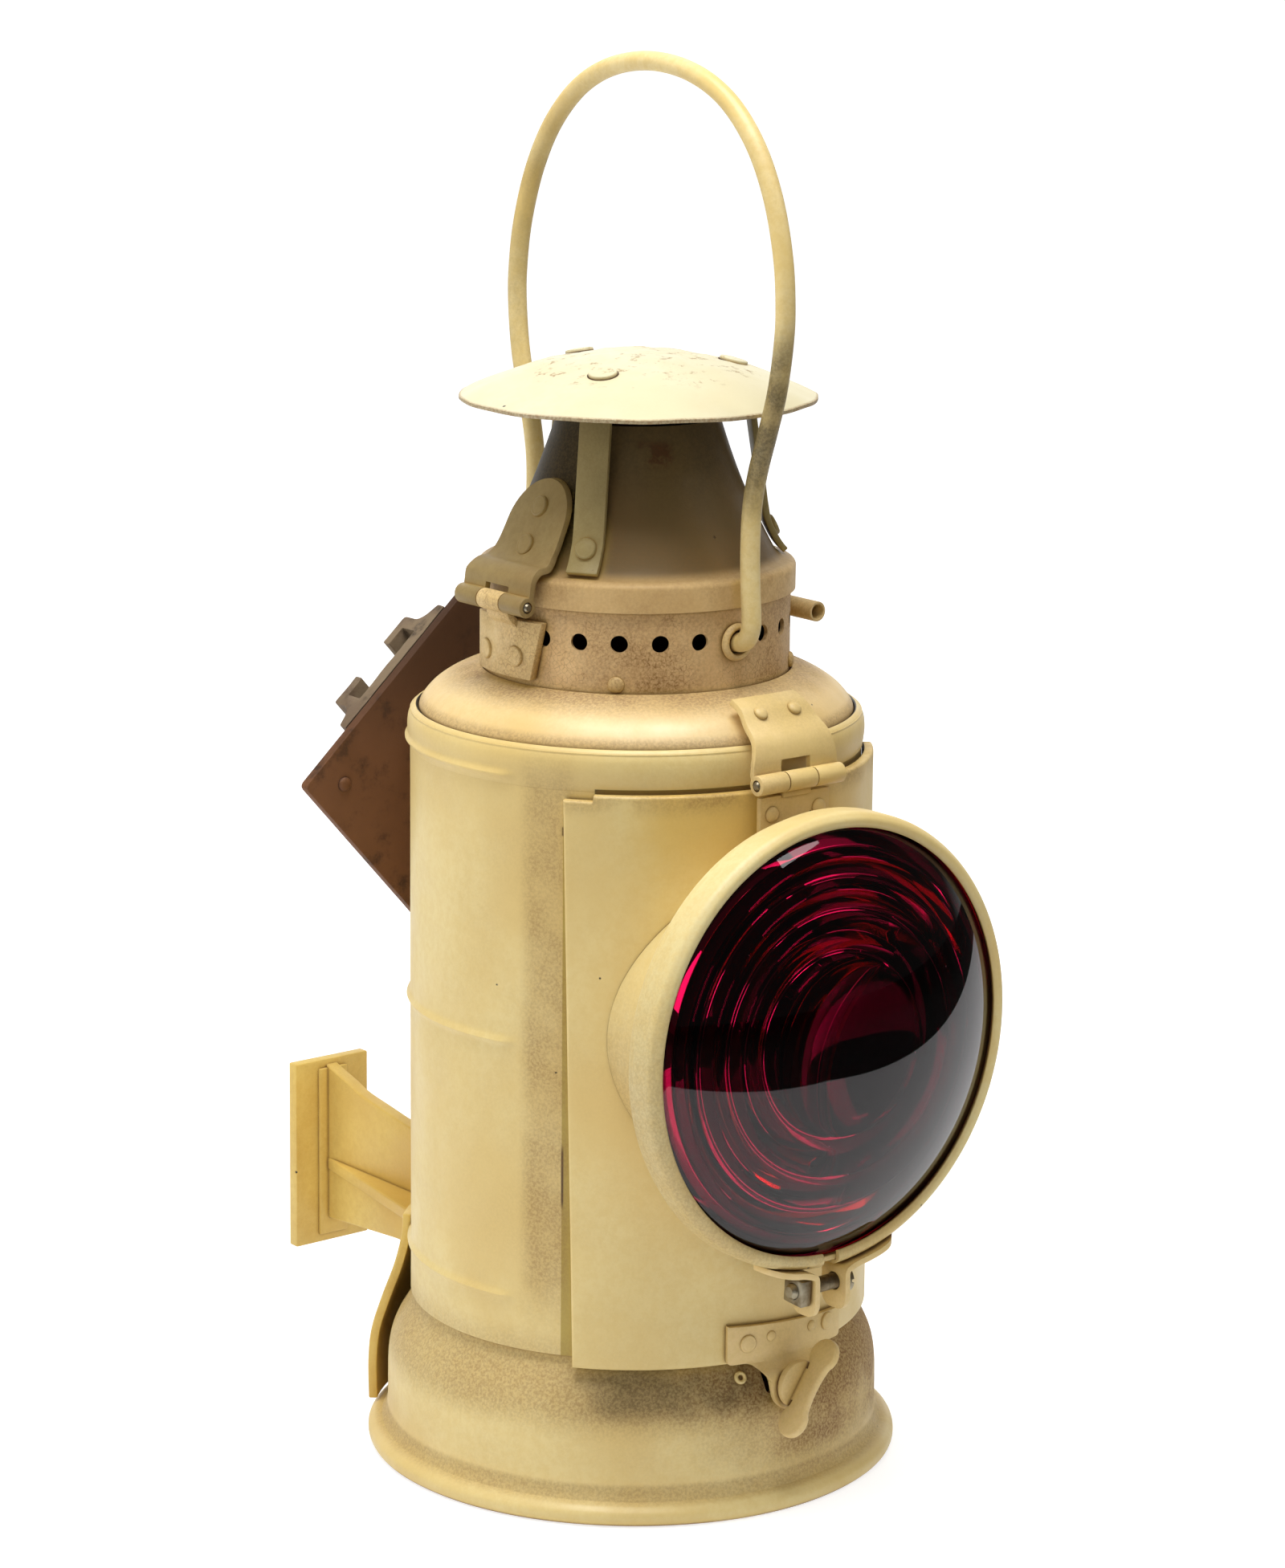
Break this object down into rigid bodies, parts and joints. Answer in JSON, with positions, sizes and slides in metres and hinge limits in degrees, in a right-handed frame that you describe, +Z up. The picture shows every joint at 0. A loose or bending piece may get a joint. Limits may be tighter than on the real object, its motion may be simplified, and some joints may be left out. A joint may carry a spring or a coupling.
{
  "type": "railway signal lamp",
  "caption": "Oil-burning railway signal lamp with a big red lens in a hinged door, a ventilated tilting lid, a wire bail and rear brackets.",
  "frame": {"origin": "on the lamp's upright axis, on the underside of its bottom plate", "axes": "+Z up the lamp's axis; -Y is the way the lens faces; +X is to the right for someone looking at the lens"},
  "size_m": [0.1736, 0.2955, 0.4546],
  "materials": {
    "cream_paint": "aged cream-yellow gloss paint with brown grime",
    "sooty_paint": "cream paint darkened by soot",
    "bare_steel": "worn",
    "rusty_plate": "brown rust over old paint, matt",
    "cast_socket": "rough, rusted",
    "red_glass": "clear deep red, polished",
    "gasket": "matt black",
    "tinned_steel": "dull tinned",
    "brass": "dull, tarnished",
    "cotton": "woven, charred at the top"
  },
  "bodies": {
    "lamp": {"base_shell": "cream_paint", "base_plate": "cream_paint", "body_shell": "cream_paint", "body_band": "cream_paint", "shoulder": "cream_paint", "vent_drum": "cream_paint", "front_eyelet": "cream_paint", "rear_eyelet": "cream_paint", "side_tube": "cream_paint", "side_tube_clip": "cream_paint", "door_hinge_upper_leaf": "cream_paint", "lid_hinge_lower_leaf": "cream_paint", "plate_standoff": "cream_paint", "bracket_foot": "cream_paint", "rear_bracket": "cream_paint", "door_hinge_pin": "bare_steel", "lid_hinge_pin": "bare_steel", "mounting_plate": "rusty_plate", "slide_socket": "cast_socket", "fount_ring": "tinned_steel", "fount": "tinned_steel", "filler_cap": "brass", "burner_collar": "brass", "burner_body": "brass", "wick_tube": "brass", "flame_dome": "brass"},
    "door": {"door_panel": "cream_paint", "door_hinge_lower_leaf": "cream_paint", "lens_collar": "cream_paint", "lens_gasket": "gasket", "lens": "red_glass", "bezel_band": "cream_paint", "clamp_lug_right": "cream_paint", "clamp_lug_left": "cream_paint", "clamp_screw": "cream_paint", "clamp_nut": "cream_paint", "latch_plate": "cream_paint"},
    "latch": {"latch_turn": "cream_paint", "latch_cam": "bare_steel"},
    "lid": {"lid_cone": "sooty_paint", "lid_cap": "cream_paint", "cap_strap_1": "sooty_paint", "cap_strap_2": "sooty_paint", "cap_strap_3": "sooty_paint", "lid_hinge_upper_leaf": "cream_paint"},
    "bail": {"bail": "cream_paint"},
    "wick_knob": {"wick_knob": "brass"},
    "wick": {"wick": "cotton"}
  },
  "joints": [
    {"name": "door_hinge", "type": "hinge", "parent": "lamp", "child": "door", "pos_m": [0, -0.0806, 0.2352], "axis": [-1, 0, 0], "range_deg": [0, 100]},
    {"name": "latch_turn", "type": "hinge", "parent": "door", "child": "latch", "pos_m": [0, -0.083, 0.0402], "axis": [0, -1, 0], "range_deg": [0, 90]},
    {"name": "lid_hinge", "type": "hinge", "parent": "lamp", "child": "lid", "pos_m": [-0.057, 0, 0.2856], "axis": [0, -1, 0], "range_deg": [0, 105]},
    {"name": "bail_swing", "type": "hinge", "parent": "lamp", "child": "bail", "pos_m": [0, 0, 0.2735], "axis": [0, 1, 0], "range_deg": [-105, 105]},
    {"name": "wick_knob_turn", "type": "hinge", "parent": "lamp", "child": "wick_knob", "pos_m": [0.046, -0.006, 0.1], "axis": [1, 0, 0], "range_deg": [-90, 90]},
    {"name": "wick_slide", "type": "slide", "parent": "lamp", "child": "wick", "axis": [0, 0, 1], "range_m": [-0.004, 0.004]}
  ],
  "couplings": [
    {"joint": "wick_slide", "follows": "wick_knob_turn", "m_per_rad": 0.0022}
  ]
}
